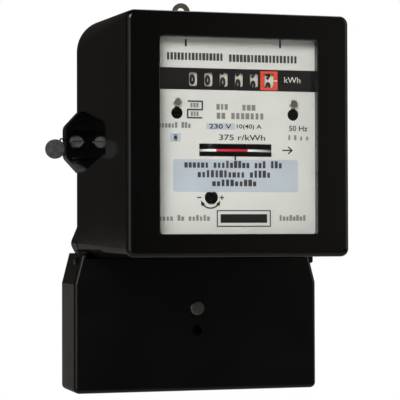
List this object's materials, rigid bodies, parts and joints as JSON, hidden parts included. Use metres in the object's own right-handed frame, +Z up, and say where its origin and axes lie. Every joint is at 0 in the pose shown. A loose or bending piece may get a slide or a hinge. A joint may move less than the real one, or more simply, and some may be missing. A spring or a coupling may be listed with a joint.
{
  "type": "electricity meter",
  "caption": "Induction disc electricity meter in a black phenolic case with a windowed hood, drum register and screwed terminal cover.",
  "frame": {"origin": "centre of the hanging lug's hole, on the wall plane at the meter's back", "axes": "+X to the right as seen from the front, +Y from the front into the wall, +Z up"},
  "size_m": [0.152, 0.1112, 0.2148],
  "materials": {
    "case_black": "glossy black phenolic moulding, hood and base",
    "cover_black": "smooth black phenolic moulding of the terminal cover",
    "block_black": "satin black phenolic moulding",
    "plated_steel": "zinc plated sheet steel",
    "nickel_screw": "nickel plated steel",
    "rubber_black": "black rubber",
    "window_glass": "clear flat glass",
    "seal_lead": "dull grey pressed lead, slightly mottled",
    "seal_wire": "fine twisted wire",
    "dark_eyelet": "darkened brass",
    "brass": "turned or milled brass",
    "dial_white": "pale grey-white printed sheet",
    "frame_metal": "die-cast or folded aluminium",
    "core_steel": "laminated core steel",
    "coil_wrap": "varnished tape over a wound coil",
    "coil_copper": "enamelled copper wire",
    "magnet_grey": "cast magnet alloy",
    "disc_aluminium": "plain aluminium with a red mark at its edge",
    "spindle_steel": "bright drawn steel",
    "drum_white": "off-white moulded plastic with dark numerals",
    "pinion_nylon": "natural moulded nylon"
  },
  "bodies": {
    "meter": {"base": "case_black", "hanging_lug": "plated_steel", "lug_rivets": "plated_steel", "main_cover": "case_black", "window_seal": "rubber_black", "window_glass": "window_glass", "glass_retainer": "plated_steel", "cover_gasket": "rubber_black", "cover_screws": "nickel_screw", "lead_seal": "seal_lead", "sealing_wire": "seal_wire", "terminal_block": "block_black", "terminal_1": "brass", "terminal_2": "brass", "terminal_3": "brass", "terminal_4": "brass", "terminal_screws": "nickel_screw", "voltage_link": "brass", "voltage_link_screw": "nickel_screw", "dial_plate": "dial_white", "dial_screws": "nickel_screw", "movement_frame": "frame_metal", "frame_screws": "plated_steel", "voltage_core": "core_steel", "voltage_coil": "coil_wrap", "current_core": "core_steel", "current_coil_left": "coil_copper", "current_coil_right": "coil_copper", "brake_magnet": "magnet_grey", "lower_bearing": "brass", "upper_bearing": "brass", "register_frame": "frame_metal", "register_screws": "plated_steel", "drum_shaft": "spindle_steel", "pinion_shaft": "spindle_steel", "idler_pin": "spindle_steel"},
    "rotor": {"rotor_disc": "disc_aluminium", "rotor_spindle": "spindle_steel"},
    "terminal_lid": {"terminal_cover": "cover_black", "terminal_cover_screw": "nickel_screw", "seal_eyelet": "dark_eyelet"},
    "adjuster": {"fine_adjuster": "brass"},
    "worm_gear": {"worm_wheel": "brass", "worm_arbor": "spindle_steel"},
    "idler": {"idler_gear": "brass"},
    "number_drum_1": {"drum_1": "drum_white"},
    "number_drum_2": {"drum_2": "drum_white"},
    "number_drum_3": {"drum_3": "drum_white"},
    "number_drum_4": {"drum_4": "drum_white"},
    "number_drum_5": {"drum_5": "drum_white"},
    "number_drum_6": {"drum_6": "drum_white"},
    "carry_pinion_1": {"transfer_pinion_1": "pinion_nylon"},
    "carry_pinion_2": {"transfer_pinion_2": "pinion_nylon"},
    "carry_pinion_3": {"transfer_pinion_3": "pinion_nylon"},
    "carry_pinion_4": {"transfer_pinion_4": "pinion_nylon"},
    "carry_pinion_5": {"transfer_pinion_5": "pinion_nylon"}
  },
  "joints": [
    {"name": "rotor_spin", "type": "hinge", "parent": "meter", "child": "rotor", "pos_m": [0, -0.0585, -0.0827], "axis": [0, 0, 1], "continuous": true},
    {"name": "cover_lift_off", "type": "slide", "parent": "meter", "child": "terminal_lid", "axis": [0, -1, 0], "range_m": [0, 0.045]},
    {"name": "adjuster_turn", "type": "hinge", "parent": "meter", "child": "adjuster", "pos_m": [-0.0128, -0.092, -0.1066], "axis": [0, 1, 0], "range_deg": [-120, 120]},
    {"name": "worm_gear_turn", "type": "hinge", "parent": "meter", "child": "worm_gear", "pos_m": [0, -0.07172, -0.054], "axis": [1, 0, 0], "continuous": true},
    {"name": "idler_turn", "type": "hinge", "parent": "meter", "child": "idler", "pos_m": [0.0235, -0.07969, -0.04405], "axis": [1, 0, 0], "continuous": true},
    {"name": "drum_6_turn", "type": "hinge", "parent": "meter", "child": "number_drum_6", "pos_m": [0.0177, -0.0914, -0.0473], "axis": [1, 0, 0], "continuous": true},
    {"name": "drum_5_turn", "type": "hinge", "parent": "meter", "child": "number_drum_5", "pos_m": [0.0097, -0.0914, -0.0473], "axis": [1, 0, 0], "continuous": true},
    {"name": "carry_5_turn", "type": "hinge", "parent": "meter", "child": "carry_pinion_5", "pos_m": [0.0137, -0.0914, -0.03595], "axis": [1, 0, 0], "continuous": true},
    {"name": "drum_4_turn", "type": "hinge", "parent": "meter", "child": "number_drum_4", "pos_m": [0.0017, -0.0914, -0.0473], "axis": [1, 0, 0], "continuous": true},
    {"name": "carry_4_turn", "type": "hinge", "parent": "meter", "child": "carry_pinion_4", "pos_m": [0.0057, -0.0914, -0.03595], "axis": [1, 0, 0], "continuous": true},
    {"name": "drum_3_turn", "type": "hinge", "parent": "meter", "child": "number_drum_3", "pos_m": [-0.0063, -0.0914, -0.0473], "axis": [1, 0, 0], "continuous": true},
    {"name": "carry_3_turn", "type": "hinge", "parent": "meter", "child": "carry_pinion_3", "pos_m": [-0.0023, -0.0914, -0.03595], "axis": [1, 0, 0], "continuous": true},
    {"name": "drum_2_turn", "type": "hinge", "parent": "meter", "child": "number_drum_2", "pos_m": [-0.0143, -0.0914, -0.0473], "axis": [1, 0, 0], "continuous": true},
    {"name": "carry_2_turn", "type": "hinge", "parent": "meter", "child": "carry_pinion_2", "pos_m": [-0.0103, -0.0914, -0.03595], "axis": [1, 0, 0], "continuous": true},
    {"name": "drum_1_turn", "type": "hinge", "parent": "meter", "child": "number_drum_1", "pos_m": [-0.0223, -0.0914, -0.0473], "axis": [1, 0, 0], "continuous": true},
    {"name": "carry_1_turn", "type": "hinge", "parent": "meter", "child": "carry_pinion_1", "pos_m": [-0.0183, -0.0914, -0.03595], "axis": [1, 0, 0], "continuous": true}
  ],
  "couplings": [
    {"joint": "worm_gear_turn", "follows": "rotor_spin", "ratio": -0.02},
    {"joint": "idler_turn", "follows": "rotor_spin", "ratio": 0.008},
    {"joint": "drum_6_turn", "follows": "rotor_spin", "ratio": -0.0026667},
    {"joint": "drum_5_turn", "follows": "rotor_spin", "ratio": -0.00026667},
    {"joint": "carry_5_turn", "follows": "rotor_spin", "ratio": 0.00066667},
    {"joint": "drum_4_turn", "follows": "rotor_spin", "ratio": -0.000026667},
    {"joint": "carry_4_turn", "follows": "rotor_spin", "ratio": 0.000066667},
    {"joint": "drum_3_turn", "follows": "rotor_spin", "ratio": -0.0000026667},
    {"joint": "carry_3_turn", "follows": "rotor_spin", "ratio": 0.0000066667},
    {"joint": "drum_2_turn", "follows": "rotor_spin", "ratio": -0.00000026667},
    {"joint": "carry_2_turn", "follows": "rotor_spin", "ratio": 0.00000066667},
    {"joint": "drum_1_turn", "follows": "rotor_spin", "ratio": -0.000000026667},
    {"joint": "carry_1_turn", "follows": "rotor_spin", "ratio": 0.000000066667}
  ]
}
